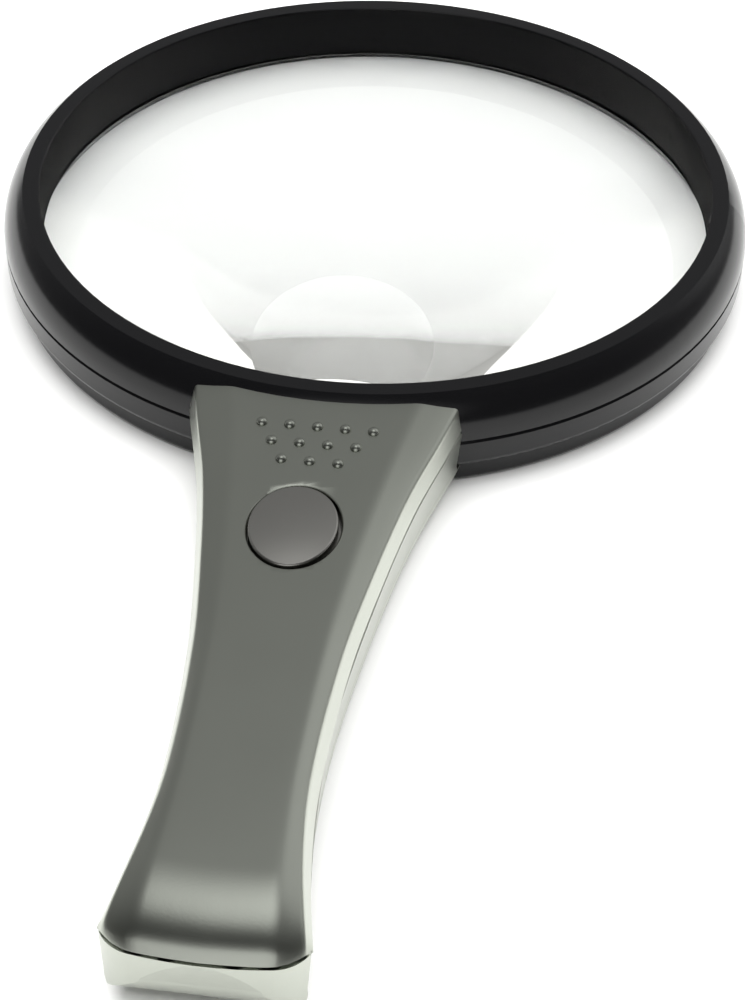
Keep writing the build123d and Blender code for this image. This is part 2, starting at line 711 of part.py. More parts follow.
# ---------------------------------------------------------------- light under the lens
def hood_plan(inset=0.0):
    """Half-round plan of the hood, fitted inside the ring's rear opening."""
    with BuildSketch() as plan:
        with Locations((0, at(REAR_OPENING_R - 0.3))):
            Ellipse(HOOD_HALF_X - inset, HOOD_DEPTH - inset)
        with Locations((0, LENS_Y)):
            Circle(REAR_OPENING_R - 0.05, mode=Mode.INTERSECT)
    return plan.sketch


with BuildPart() as light_hood:
    extrude(Pos(0, 0, HOOD_BOTTOM) * hood_plan(), amount=HOOD_TOP - HOOD_BOTTOM)
    hood_depth = HOOD_TOP - HOOD_ROOF - HOOD_BOTTOM
    extrude(Pos(0, 0, HOOD_BOTTOM) * hood_plan(HOOD_WALL), amount=hood_depth, mode=Mode.SUBTRACT)
    # the roof follows the lens's rear face
    with Locations((0, LENS_Y, rear_apex + REAR_CURVE_R)):
        Sphere(REAR_CURVE_R + LENS_GAP, mode=Mode.SUBTRACT)
save(light_hood.part, "light_hood")

with BuildPart() as light_window:
    extrude(Pos(0, 0, HOOD_BOTTOM) * hood_plan(HOOD_WALL + 0.05), amount=WINDOW_T)
save(light_window.part, "light_window")

with BuildPart() as led_board:
    with BuildSketch(Plane.XY.offset(LED_BOARD_Z)):
        with Locations((0, at((LED_BOARD_START + LED_BOARD_END) / 2))):
            Rectangle(2 * LED_BOARD_HALF_X, LED_BOARD_END - LED_BOARD_START)
    extrude(amount=LED_BOARD_T)
save(led_board.part, "led_board")

with BuildPart() as leds:
    with BuildSketch(Plane.XY.offset(LED_BOARD_Z - LED_SIZE[2])):
        with Locations((0, at(LED_REACH))):
            with GridLocations(LED_PITCH, 1, 3, 1):
                RectangleRounded(LED_SIZE[0], LED_SIZE[1], 0.2)
    extrude(amount=LED_SIZE[2])
save(leds.part, "leds")

# Two leads from the light's board to the circuit board, bent round the front cell's contact.
lead_top = BOARD_TOP + LEAD_R + 0.02
for name, side in (("red_lead", 1), ("black_lead", -1)):
    with BuildPart() as lead:
        with BuildLine():
            FilletPolyline(
                (side * LEAD_X, at(LEAD_REACH), LED_BOARD_Z + LED_BOARD_T),
                (side * LEAD_X, at(LEAD_REACH), lead_top),
                (side * LEAD_X, at(BOARD_START + 1.5), lead_top),
                radius=LEAD_BEND_R,
            )
        with BuildSketch(Plane(origin=(side * LEAD_X, at(LEAD_REACH), LED_BOARD_Z + LED_BOARD_T))):
            Circle(LEAD_R)
        sweep()
    save(lead.part, name)
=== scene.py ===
"""Looks of a lighted low vision magnifier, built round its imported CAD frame.

The file is laid out as an add-on: settings, one operator per piece or group of like pieces, and a panel.
Everything is in metres, in the CAD model's frame: Z is the optical axis and the handle points to -Y.
"""

from math import cos, pi, radians, sin, sqrt, tau

import bmesh
import bpy
from bpy.props import FloatProperty, FloatVectorProperty, PointerProperty
from mathutils import Matrix, Vector


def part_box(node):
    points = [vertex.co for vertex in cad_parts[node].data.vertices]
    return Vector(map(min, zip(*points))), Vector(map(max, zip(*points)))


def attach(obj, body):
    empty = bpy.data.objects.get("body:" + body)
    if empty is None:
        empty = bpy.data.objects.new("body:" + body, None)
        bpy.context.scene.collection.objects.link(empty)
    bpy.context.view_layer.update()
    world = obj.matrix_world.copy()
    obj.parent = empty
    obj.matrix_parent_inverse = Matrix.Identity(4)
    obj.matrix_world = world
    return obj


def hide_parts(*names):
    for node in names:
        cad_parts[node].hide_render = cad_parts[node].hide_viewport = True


bl_info = {
    "name": "Low Vision Magnifier",
    "version": (1, 0, 0),
    "blender": (4, 5, 0),
    "location": "View3D > Sidebar > Magnifier",
    "description": "Builds the looks of a lighted hand magnifier round its CAD frame",
    "category": "Object",
}

MM = 0.001
ACRYLIC_IOR = 1.49
BODY = "magnifier"
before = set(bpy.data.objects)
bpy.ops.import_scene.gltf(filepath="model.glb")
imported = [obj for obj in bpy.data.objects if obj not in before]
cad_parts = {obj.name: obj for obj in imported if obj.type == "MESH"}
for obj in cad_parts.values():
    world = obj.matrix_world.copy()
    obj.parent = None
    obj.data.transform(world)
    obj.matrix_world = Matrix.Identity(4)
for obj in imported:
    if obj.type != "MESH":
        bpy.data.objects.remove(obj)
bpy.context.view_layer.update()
RING_LOW, RING_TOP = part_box("front_ring")
RING_RADIUS = (RING_TOP.x - RING_LOW.x) / 2
RING_HEIGHT = RING_TOP.z
LENS_CENTRE = Vector((0, RING_TOP.y - RING_RADIUS, 0))


def colour_prop(name, description, value):
    """A linear colour setting."""
    return FloatVectorProperty(
        name=name, description=description, default=value, subtype="COLOR", size=3, min=0, max=1
    )


def length_prop(name, description, value):
    """A length setting in metres."""
    return FloatProperty(name=name, description=description, default=value, unit="LENGTH", precision=5)


# ------------------------------------------------------------------ settings
class MagnifierFinish(bpy.types.PropertyGroup):
    """Colours of the moulded plastics, the metals and the stage."""

    ring: colour_prop("Ring", "Polished black of the lens ring", (0.004, 0.004, 0.0045))
    shell: colour_prop("Shell", "Silver-grey lacquer of the handle shells", (0.44, 0.46, 0.41))
    button: colour_prop("Button", "Silver-grey lacquer of the push button", (0.42, 0.415, 0.39))
    hood: colour_prop("Hood", "White of the light hood", (0.75, 0.75, 0.73))
    lens: colour_prop("Lens", "Tint of the clear acrylic", (0.99, 1.0, 0.995))
    metal: colour_prop("Metal", "Nickel plating of the contacts", (0.62, 0.60, 0.55))
    floor: colour_prop("Floor", "Pale floor", (0.92, 0.92, 0.91))


class MagnifierCamera(bpy.types.PropertyGroup):
    """Where the camera stands."""

    azimuth: FloatProperty(
        name="Azimuth", description="Turn to the right of the handle", default=radians(6.823), subtype="ANGLE"
    )
    elevation: FloatProperty(
        name="Elevation", description="Height above the lens plane", default=radians(41.572), subtype="ANGLE"
    )
    roll: FloatProperty(
        name="Roll", description="Turn about the view line", default=radians(0.967), subtype="ANGLE"
    )
    distance: length_prop("Distance", "From the point looked at", 0.33974)
    focal: FloatProperty(name="Focal length", description="In millimetres on a 36 mm sensor", default=79.2)
    side: length_prop("Aim across", "Point looked at, across the handle", 0.01118)
    reach: length_prop("Aim reach", "Point looked at, from the lens axis towards the tail", 0.09042)


class MagnifierHandle(bpy.types.PropertyGroup):
    """Sizes of the top shell of the handle. A reach is measured from the lens axis towards the tail."""

    top: length_prop("Top", "Height of the flat top", 17 * MM)
    shoulder: length_prop("Shoulder", "Height of the lower edge of the slanted band", 15.9 * MM)
    seam: length_prop("Seam", "Height of the seam between the shells", 12 * MM)
    lean: length_prop("Lean", "How far the side wall leans in", 1.0 * MM)
    wall: length_prop("Wall", "Wall thickness", 1.6 * MM)
    roll_length: length_prop("Roll length", "Length over which the top rolls down at the tail", 12.5 * MM)
    edge_round: length_prop("Edge rounding", "Half length of the rounding of the long edges", 0.7 * MM)
    dot_radius: length_prop("Dot radius", "Radius of a tactile dot", 0.95 * MM)
    dot_height: length_prop("Dot height", "Height of a tactile dot", 0.7 * MM)
    dot_reach: length_prop("Dot reach", "Reach of the first row of dots", 73 * MM)
    dot_pitch_x: length_prop("Dot pitch across", "Between the dots of a row", 4.54 * MM)
    dot_pitch_y: length_prop("Dot pitch along", "Between the rows", 4.3 * MM)
    hole_reach: length_prop("Hole reach", "Reach of the button opening", 97 * MM)
    hole_half_x: length_prop("Hole half width", "Half width of the button opening", 7.25 * MM)
    hole_half_y: length_prop("Hole half length", "Half length of the button opening", 9.4 * MM)


# Reach, half width at the seam and half width of the flat top, in millimetres, along the handle.
HANDLE_STATIONS = (
    (60.0, 23.8, 16.4),
    (72.0, 21.0, 14.1),
    (86.0, 17.5, 12.0),
    (104.0, 14.4, 9.9),
    (122.0, 12.1, 8.7),
    (145.0, 11.1, 8.2),
    (160.0, 12.2, 8.5),
    (178.0, 15.4, 9.2),
)
# Half width and reach of points on the tail's curved edge, in millimetres, from the middle outwards.
TAIL_EDGE = ((0.0, 176.0), (4.8, 175.8), (9.5, 175.3), (11.9, 174.2), (13.9, 172.2), (16.0, 169.0))
# Height and radius, in millimetres, of points on the ring's outside, from below the seam to the top.
RING_FLANK = ((10.1, 69.1), (12.4, 68.75), (14.8, 68.05), (16.4, 67.0), (18.1, 65.2))
DOT_ROWS = (5, 4, 3)
DOT_FOOT = 0.08 * MM  # how far the foot of a dot reaches past its dome
DOT_SINK = 0.03 * MM  # how far the foot lies below the flat top
DOT_ROOT = 0.6 * MM  # how deep a dot stands in the wall
DOT_STEPS = 8
ROLL_STEEP = 0.985  # 1 would end the tail's roll upright
ROLL_LIP = 0.02  # share of the height that is left at the tail's edge
SEAM_GROOVE = 0.3 * MM
RAIL_ROWS = 110
RAIL_CROWDING = 0.35  # how much closer the rows are at the tail than at the ring
RAIL_ROUNDS = 6  # enough to settle where a rail starts and ends
OPENING_DEPTH = 4 * MM
# How far the button opening widens, and the height above the flat top, from the straight wall upwards.
OPENING_FLARE = ((0.0, -0.35), (0.1, -0.12), (0.3, 0.02), (0.5, 1.0))
SHARP_ANGLE = radians(32)

# Linear colours of the inner parts.
PHOSPHOR_YELLOW = (0.85, 0.72, 0.25)
BOARD_GREEN = (0.02, 0.15, 0.05)
RESISTOR_BLACK = (0.02, 0.02, 0.02)
JACKET_BLUE = (0.10, 0.13, 0.2)
LEAD_RED = (0.5, 0.02, 0.02)
LEAD_BLACK = (0.015, 0.015, 0.015)
SCREW_ZINC = (0.5, 0.5, 0.48)

# How the lens shows light that has bounced inside it. The shade, tones and tint are chosen.
# The glow below is painted light: an emission on a lens that is no lamp. The leaving shade is painted shade,
# standing in for the shaded ground by the far rim.
FIRST_BOUNCE = 0.5  # above this the light has bounced at least once
LAST_BOUNCE = 3.5  # above this the renderer stops following it
HELD_REFLECTANCE = 0.6  # above this the surface keeps the light in
PAINTED_LEAVING_SHADE = 0.96  # share of the tint taken from light that leaves after bouncing
LEAVING_TONE = 0.3  # glow at the last bounce
HELD_TONE = 0.7  # added to the glow where the light is kept in
PAINTED_GLOW_TINT = (1.0, 1.0, 0.95)

FLOOR_HALF = 3.0
FLOOR_DROP = 0.2 * MM
PANEL_PLACE = (0.0, 0.15, 1.3)
PANEL_SIZE = 2.2
PANEL_POWER = 50.0
STUDIO_HAZE = 0.055
OVERHEAD_ANGLE = radians(76)
# Soft panels of the studio: direction, the cosines at which each begins and is full, and its brightness.
STUDIO_PANELS = (
    ((0, 1, 0), -0.35, 0.7, 0.23),
    ((0, -0.9, 0.43), 0.82, 0.95, 0.9),
    ((0.55, 0.64, 0.54), 0.86, 0.97, 0.4),
    ((0, cos(OVERHEAD_ANGLE), sin(OVERHEAD_ANGLE)), 0.93, 0.99, 1.1),
)


# ------------------------------------------------------------------ shader groups
def new_group(name, inputs, outputs):
    """An empty shader node group with float inputs and named outputs."""
    group = bpy.data.node_groups.new(name, "ShaderNodeTree")
    for label, default in inputs:
        socket = group.interface.new_socket(name=label, in_out="INPUT", socket_type="NodeSocketFloat")
        socket.default_value = default
    for label, kind in outputs:
        group.interface.new_socket(name=label, in_out="OUTPUT", socket_type=kind)
    return group, group.nodes.new("NodeGroupInput"), group.nodes.new("NodeGroupOutput")


def math_node(tree, operation, first, second):
    """A math node; its inputs are sockets or numbers."""
    node = tree.nodes.new("ShaderNodeMath")
    node.operation = operation
    for index, value in enumerate((first, second)):
        if isinstance(value, (int, float)):
            node.inputs[index].default_value = value
        else:
            tree.links.new(value, node.inputs[index])
    return node.outputs[0]


def noise_node(tree, scale, detail=2.0, roughness=0.5):
    """Noise in object coordinates, in cycles per metre."""
    place = tree.nodes.new("ShaderNodeTexCoord")
    node = tree.nodes.new("ShaderNodeTexNoise")
    node.inputs["Detail"].default_value = detail
    node.inputs["Roughness"].default_value = roughness
    tree.links.new(place.outputs["Object"], node.inputs["Vector"])
    if isinstance(scale, (int, float)):
        node.inputs["Scale"].default_value = scale
    else:
        tree.links.new(scale, node.inputs["Scale"])
    return node.outputs["Fac"]


def moulded_grain_group():
    """Fine texture of moulded plastic: a height and a slow shade drift."""
    group, given, made = new_group(
        "moulded_grain",
        [("Grain Scale", 3000.0), ("Grain Height", 1.0), ("Drift Scale", 40.0), ("Drift", 0.05)],
        [("Height", "NodeSocketFloat"), ("Drift", "NodeSocketFloat")],
    )
    fine = noise_node(group, given.outputs["Grain Scale"], detail=3.0)
    group.links.new(math_node(group, "MULTIPLY", fine, given.outputs["Grain Height"]), made.inputs["Height"])
    slow = noise_node(group, given.outputs["Drift Scale"], detail=2.0)
    centred = math_node(group, "SUBTRACT", slow, 0.5)
    scaled = math_node(group, "MULTIPLY", centred, given.outputs["Drift"])
    group.links.new(math_node(group, "ADD", scaled, 1.0), made.inputs["Drift"])
    return group


def handling_group():
    """Faint smudges left by hands, which dull the shine in soft patches."""
    group, given, made = new_group(
        "handling_marks",
        [("Patch Scale", 60.0), ("Base Roughness", 0.2), ("Amount", 0.06)],
        [("Roughness", "NodeSocketFloat")],
    )
    patches = noise_node(group, given.outputs["Patch Scale"], detail=4.0, roughness=0.6)
    centred = math_node(group, "SUBTRACT", patches, 0.5)
    amount = math_node(group, "MULTIPLY", centred, given.outputs["Amount"])
    roughness = math_node(group, "ADD", amount, given.outputs["Base Roughness"])
    group.links.new(roughness, made.inputs["Roughness"])
    return group


def edge_wear_group():
    """Mask that is high on convex edges, broken up by noise."""
    group, given, made = new_group(
        "edge_wear",
        [("Start", 0.52), ("Strength", 6.0), ("Break Up Scale", 700.0)],
        [("Mask", "NodeSocketFloat")],
    )
    geometry = group.nodes.new("ShaderNodeNewGeometry")
    raised = math_node(group, "SUBTRACT", geometry.outputs["Pointiness"], given.outputs["Start"])
    scaled = math_node(group, "MULTIPLY", raised, given.outputs["Strength"])
    broken = math_node(group, "MULTIPLY", scaled, noise_node(group, given.outputs["Break Up Scale"]))
    clamp = group.nodes.new("ShaderNodeClamp")
    group.links.new(broken, clamp.inputs["Value"])
    group.links.new(clamp.outputs[0], made.inputs["Mask"])
    return group


GROUP_MAKERS = {
    "moulded_grain": moulded_grain_group,
    "handling_marks": handling_group,
    "edge_wear": edge_wear_group,
}


def place_group(tree, name, **values):
    """Place a shared group in a material with its own values."""
    node = tree.nodes.new("ShaderNodeGroup")
    node.node_tree = bpy.data.node_groups.get(name) or GROUP_MAKERS[name]()
    for key, value in values.items():
        node.inputs[key.replace("_", " ")].default_value = value
    return node


# ------------------------------------------------------------------ mesh helpers
def blend_along(table, place, column):
    """Smooth value of one column of a table at a place along its first column."""
    places = [row[0] for row in table]
    values = [row[column] for row in table]
    last = len(places) - 2
    index = max(i for i in range(last + 1) if i == 0 or places[i] <= place)

    def slope(i):
        low, high = max(i - 1, 0), min(i + 1, last + 1)
        return (values[high] - values[low]) / (places[high] - places[low])

    span = places[index + 1] - places[index]
    t = min(max((place - places[index]) / span, 0), 1)
    start = values[index] * (1 + 2 * t) + span * slope(index) * t
    end = values[index + 1] * (3 - 2 * t) + span * slope(index + 1) * (t - 1)
    return (1 - t) ** 2 * start + t**2 * end


def rounded_run(corners, reaches, steps=6):
    """A run of corners with the inner ones rounded off, and its straights divided."""
    run = [corners[0]]
    for before, corner, after, reach in zip(corners, corners[1:], corners[2:], reaches):
        start = corner + (before - corner).normalized() * min(reach, 0.45 * (before - corner).length)
        end = corner + (after - corner).normalized() * min(reach, 0.45 * (after - corner).length)
        run.append((run[-1] + start) / 2)
        for step in range(steps + 1):
            t = step / steps
            run.append(start * (1 - t) ** 2 + corner * 2 * t * (1 - t) + end * t**2)
    run.append((run[-1] + corners[-1]) / 2)
    run.append(corners[-1])
    return run


def lathe(shell, profile, centre, segments=20, scale_y=1.0):
    """Turn a closed profile of radius and height pairs about the vertical through a centre."""
    rings = []
    for radius, height in profile:
        count = segments if radius > 0 else 1
        ring = []
        for k in range(count):
            angle = tau * k / segments
            place = Vector((radius * cos(angle), radius * sin(angle) * scale_y, height))
            ring.append(shell.verts.new(centre + place))
        rings.append(ring)
    for low, high in zip(rings, rings[1:]):
        for k in range(segments):
            after = k + 1
            below = (low[k % len(low)], low[after % len(low)])
            above = (high[after % len(high)], high[k % len(high)])
            unique = list(dict.fromkeys(below + above))
            if len(unique) > 2:
                shell.faces.new(unique)


def make_piece(name, shell, body, material, replaced=()):
    """Turn a bmesh into a piece that rides on a body, hiding the CAD parts that it replaces."""
    bmesh.ops.recalc_face_normals(shell, faces=shell.faces)
    mesh = bpy.data.meshes.new(name)
    shell.to_mesh(mesh)
    shell.free()
    mesh.materials.append(material)
    piece = bpy.data.objects.new(name, mesh)
    bpy.context.scene.collection.objects.link(piece)
    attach(piece, body)
    if replaced:
        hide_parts(*replaced)
    return piece


def apply_modifiers(piece):
    """Replace a piece's mesh with the result of its modifiers, smooth but for its sharp edges."""
    graph = bpy.context.evaluated_depsgraph_get()
    mesh = bpy.data.meshes.new_from_object(piece.evaluated_get(graph))
    piece.modifiers.clear()
    piece.data = mesh
    mesh.shade_smooth()
    mesh.set_sharp_from_angle(angle=SHARP_ANGLE)


# ------------------------------------------------------------------ materials
def new_material(name, **constants):
    """A material whose Principled shader holds these constant values."""
    material = bpy.data.materials.new(name)
    material.use_nodes = True
    shader = material.node_tree.nodes["Principled BSDF"]
    for key, value in constants.items():
        socket = shader.inputs[key.replace("_", " ")]
        socket.default_value = (*value, 1) if hasattr(value, "__len__") and len(value) == 3 else value
    return material, material.node_tree, shader


def link_colour(tree, shader, colour, factor):
    """Base colour times a factor that varies."""
    mix = tree.nodes.new("ShaderNodeVectorMath")
    mix.operation = "SCALE"
    mix.inputs[0].default_value = colour
    tree.links.new(factor, mix.inputs["Scale"])
    tree.links.new(mix.outputs[0], shader.inputs["Base Color"])


def link_bump(tree, shader, height, strength, distance):
    """Surface height into the normal."""
    bump = tree.nodes.new("ShaderNodeBump")
    bump.inputs["Strength"].default_value = strength
    bump.inputs["Distance"].default_value = distance
    tree.links.new(height, bump.inputs["Height"])
    tree.links.new(bump.outputs[0], shader.inputs["Normal"])


def plastic(name, colour, roughness, grain, grain_scale=2500.0, marks=0.05, drift=0.06, specular=0.5):
    """Moulded plastic with grain, slow shade drift and handling marks."""
    material, tree, shader = new_material(name, Base_Color=colour, Specular_IOR_Level=specular)
    texture = place_group(tree, "moulded_grain", Grain_Scale=grain_scale, Drift=drift)
    link_colour(tree, shader, colour, texture.outputs["Drift"])
    link_bump(tree, shader, texture.outputs["Height"], grain, 0.00004)
    smudges = place_group(tree, "handling_marks", Base_Roughness=roughness, Amount=marks)
    tree.links.new(smudges.outputs["Roughness"], shader.inputs["Roughness"])
    return material


def lacquer(name, colour, roughness):
    """Metallic silver-grey lacquer over moulded plastic, rubbed lighter along its edges."""
    material, tree, shader = new_material(name, Base_Color=colour, Metallic=1.0)
    texture = place_group(tree, "moulded_grain", Grain_Scale=2600.0, Drift=0.05, Drift_Scale=55.0)
    wear = place_group(tree, "edge_wear", Start=0.53, Strength=3.0)
    lighter = math_node(tree, "MULTIPLY", wear.outputs["Mask"], 0.1)
    link_colour(tree, shader, colour, math_node(tree, "ADD", texture.outputs["Drift"], lighter))
    link_bump(tree, shader, texture.outputs["Height"], 0.22, 0.00003)
    smudges = place_group(tree, "handling_marks", Base_Roughness=roughness, Amount=0.07)
    tree.links.new(smudges.outputs["Roughness"], shader.inputs["Roughness"])
    return material


def plated_metal(name, colour, roughness):
    """Plated or stamped metal with fine brushing."""
    material, tree, shader = new_material(name, Base_Color=colour, Metallic=1.0)
    texture = place_group(tree, "moulded_grain", Grain_Scale=6000.0, Drift=0.2, Drift_Scale=400.0)
    link_colour(tree, shader, colour, texture.outputs["Drift"])
    link_bump(tree, shader, texture.outputs["Height"], 0.15, 0.00002)
    smudges = place_group(tree, "handling_marks", Base_Roughness=roughness, Amount=0.15, Patch_Scale=800.0)
    tree.links.new(smudges.outputs["Roughness"], shader.inputs["Roughness"])
    return material


def clear_plastic(name, colour, roughness):
    """Clear moulded acrylic."""
    material, tree, shader = new_material(
        name, Base_Color=colour, Metallic=0.0, Transmission_Weight=1.0, IOR=ACRYLIC_IOR
    )
    smudges = place_group(tree, "handling_marks", Base_Roughness=roughness, Amount=0.004, Patch_Scale=45.0)
    tree.links.new(smudges.outputs["Roughness"], shader.inputs["Roughness"])
    return material


def paint_lens_glow_and_shade(material):
    """Stand-in tones for light that has bounced inside a clear solid, chosen one by one.

    The renderer stops following it after a few bounces, where the solid would turn black. There the lens
    gets a painted glow instead, an emission as if the light had reached the pale room, though it is no lamp.
    Light that leaves sooner, after bouncing, gets painted shade, standing in for the shaded ground by the far
    rim. Light that the floor and the other pieces receive isn't changed.
    """
    tree = material.node_tree
    shader = tree.nodes["Principled BSDF"]
    path = tree.nodes.new("ShaderNodeLightPath")
    seen = math_node(tree, "LESS_THAN", path.outputs["Diffuse Depth"], FIRST_BOUNCE)
    inside = math_node(tree, "GREATER_THAN", path.outputs["Glossy Depth"], FIRST_BOUNCE)
    bounced = math_node(tree, "MULTIPLY", inside, seen)
    clear = math_node(tree, "SUBTRACT", 1.0, math_node(tree, "MULTIPLY", bounced, PAINTED_LEAVING_SHADE))
    link_colour(tree, shader, finish_settings().lens, clear)
    edge = tree.nodes.new("ShaderNodeFresnel")
    edge.inputs["IOR"].default_value = ACRYLIC_IOR
    held = math_node(tree, "GREATER_THAN", edge.outputs[0], HELD_REFLECTANCE)
    tone = math_node(tree, "ADD", math_node(tree, "MULTIPLY", held, HELD_TONE), LEAVING_TONE)
    at_end = math_node(tree, "GREATER_THAN", path.outputs["Glossy Depth"], LAST_BOUNCE)
    last = math_node(tree, "MULTIPLY", at_end, seen)
    glow = tree.nodes.new("ShaderNodeVectorMath")
    glow.operation = "SCALE"
    glow.inputs[0].default_value = PAINTED_GLOW_TINT
    tree.links.new(math_node(tree, "MULTIPLY", tone, last), glow.inputs["Scale"])
    tree.links.new(glow.outputs[0], shader.inputs["Emission Color"])
    shader.inputs["Emission Strength"].default_value = 1.0


def finish_settings():
    """The colour settings of this scene."""
    return bpy.context.scene.magnifier_finish


def dress(names, material):
    """Give CAD nodes a material."""
    for name in names:
        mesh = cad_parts[name].data
        mesh.materials.clear()
        mesh.materials.append(material)


# ------------------------------------------------------------------ operators
class MAGNIFIER_OT_ring(bpy.types.Operator):
    """Finish the two halves of the lens ring"""

    bl_idname = "magnifier.ring"
    bl_label = "Lens Ring"

    def execute(self, context):
        material = plastic("ring_black", finish_settings().ring, 0.17, 0.03, marks=0.06, specular=0.3)
        dress(["front_ring", "rear_ring"], material)
        return {"FINISHED"}


class MAGNIFIER_OT_lens(bpy.types.Operator):
    """Finish the clear lens"""

    bl_idname = "magnifier.lens"
    bl_label = "Lens"

    def execute(self, context):
        material = clear_plastic("lens_acrylic", finish_settings().lens, 0.004)
        # Gives the lens a painted glow where inner bounces end, and painted shade on light that leaves after
        # bouncing.
        paint_lens_glow_and_shade(material)
        dress(["lens"], material)
        return {"FINISHED"}


class MAGNIFIER_OT_handle(bpy.types.Operator):
    """Finish the handle shells and the battery door"""

    bl_idname = "magnifier.handle"
    bl_label = "Handle Shells"

    def execute(self, context):
        material = lacquer("shell_grey", finish_settings().shell, 0.3)
        dress(["handle_top_shell", "handle_bottom_shell", "battery_door"], material)
        self.sizes = context.scene.magnifier_handle
        self.build_top(material)
        return {"FINISHED"}

    def across(self, reach):
        """Rounded outline of the top shell from the seam to the middle, as half widths and heights."""
        sizes = self.sizes
        half = blend_along(HANDLE_STATIONS, reach / MM, 1) * MM
        flat = blend_along(HANDLE_STATIONS, reach / MM, 2) * MM
        corners = [
            Vector((half - SEAM_GROOVE, sizes.seam)),
            Vector((half, sizes.seam + SEAM_GROOVE)),
            Vector((half - sizes.lean, sizes.shoulder)),
            Vector((flat, sizes.top)),
            Vector((flat / 2, sizes.top)),
            Vector((0, sizes.top)),
        ]
        rounding = [0.2 * SEAM_GROOVE, sizes.edge_round, 1.5 * sizes.edge_round, 0.5 * MM]
        return rounded_run(corners, rounding)

    def rail(self, index):
        """One line of points along the top shell, from the ring to the tail's edge."""
        sizes = self.sizes
        start = RING_RADIUS
        end = sizes.roll_length + HANDLE_STATIONS[-2][0] * MM
        for _ in range(RAIL_ROUNDS):
            near = self.across(start)[index]
            start = sqrt((blend_along(RING_FLANK, near.y / MM, 1) * MM) ** 2 - near.x**2)
            far = min(self.across(end)[index].x / MM, TAIL_EDGE[-1][0])
            end = blend_along(TAIL_EDGE, far, 1) * MM
        points = []
        for row in range(RAIL_ROWS):
            t = row / (RAIL_ROWS - 1)
            reach = start + (end - start) * (t + RAIL_CROWDING * t * (1 - t))
            place = self.across(reach)[index]
            into_roll = max(0, 1 - (end - reach) / sizes.roll_length)
            keep = ROLL_LIP + (1 - ROLL_LIP) * sqrt(1 - ROLL_STEEP * into_roll**2)
            height = sizes.seam + (place.y - sizes.seam) * keep
            points.append(Vector((place.x, -reach, height)))
        return points

    def build_top(self, material):
        """Top shell with its soft edges, rolled tail, button opening and tactile dots."""
        count = len(self.across(RING_RADIUS))
        half_rails = [self.rail(index) for index in range(count)]
        mirrored = [[Vector((-p.x, p.y, p.z)) for p in rail] for rail in reversed(half_rails[:-1])]
        shell = bmesh.new()
        grid = [[shell.verts.new(LENS_CENTRE + p) for p in rail] for rail in half_rails + mirrored]
        for one, two in zip(grid, grid[1:]):
            for k in range(RAIL_ROWS - 1):
                shell.faces.new((one[k], one[k + 1], two[k + 1], two[k]))
        top = make_piece("handle_top", shell, BODY, material, ["handle_top_shell"])
        if top.data.polygons[len(top.data.polygons) // 2].normal.z < 0:
            top.data.flip_normals()
        wall = top.modifiers.new("wall", "SOLIDIFY")
        wall.thickness = self.sizes.wall
        wall.offset = -1
        wall.thickness_clamp = 1.0
        cutter = self.opening_cutter()
        opening = top.modifiers.new("opening", "BOOLEAN")
        opening.operation = "DIFFERENCE"
        opening.solver = "EXACT"
        opening.object = cutter
        apply_modifiers(top)
        bpy.data.objects.remove(cutter)
        dots = bmesh.new()
        dots.from_mesh(top.data)
        self.add_dots(dots)
        dots.to_mesh(top.data)
        dots.free()
        top.data.shade_smooth()
        top.data.set_sharp_from_angle(angle=SHARP_ANGLE)

    def opening_cutter(self):
        """Oval cutter of the button opening, flared at the top to round the edge over."""
        sizes = self.sizes
        half = sizes.hole_half_x
        profile = [(0, -OPENING_DEPTH), (half, -OPENING_DEPTH)]
        profile += [(half + out * MM, up * MM) for out, up in OPENING_FLARE]
        profile.append((0, profile[-1][1]))
        shell = bmesh.new()
        centre = LENS_CENTRE + Vector((0, -sizes.hole_reach, sizes.top))
        lathe(shell, profile, centre, segments=96, scale_y=sizes.hole_half_y / half)
        bmesh.ops.recalc_face_normals(shell, faces=shell.faces)
        mesh = bpy.data.meshes.new("opening_cutter")
        shell.to_mesh(mesh)
        shell.free()
        cutter = bpy.data.objects.new("opening_cutter", mesh)
        bpy.context.scene.collection.objects.link(cutter)
        return cutter

    def add_dots(self, shell):
        """Rows of tactile dots, each a low dome with a soft foot."""
        sizes = self.sizes
        angles = [pi / 2 * step / DOT_STEPS for step in range(DOT_STEPS + 1)]
        profile = [(sizes.dot_radius * sin(angle), sizes.dot_height * cos(angle)) for angle in angles]
        foot = sizes.dot_radius + DOT_FOOT
        profile += [(foot, -DOT_SINK), (foot, -DOT_ROOT), (0, -DOT_ROOT)]
        for row, count in enumerate(DOT_ROWS):
            reach = sizes.dot_reach + row * sizes.dot_pitch_y
            for k in range(count):
                across = (k - (count - 1) / 2) * sizes.dot_pitch_x
                lathe(shell, profile[::-1], LENS_CENTRE + Vector((across, -reach, sizes.top)))


class MAGNIFIER_OT_button(bpy.types.Operator):
    """Finish the push button"""

    bl_idname = "magnifier.button"
    bl_label = "Push Button"

    def execute(self, context):
        dress(["push_button"], lacquer("button_grey", finish_settings().button, 0.33))
        return {"FINISHED"}


class MAGNIFIER_OT_light(bpy.types.Operator):
    """Finish the hood, the window and the light board"""

    bl_idname = "magnifier.light"
    bl_label = "Light"

    def execute(self, context):
        dress(["light_hood"], plastic("hood_white", finish_settings().hood, 0.3, 0.1))
        dress(["light_window"], clear_plastic("window_clear", finish_settings().lens, 0.03))
        dress(["leds"], plastic("led_phosphor", PHOSPHOR_YELLOW, 0.35, 0.1))
        return {"FINISHED"}


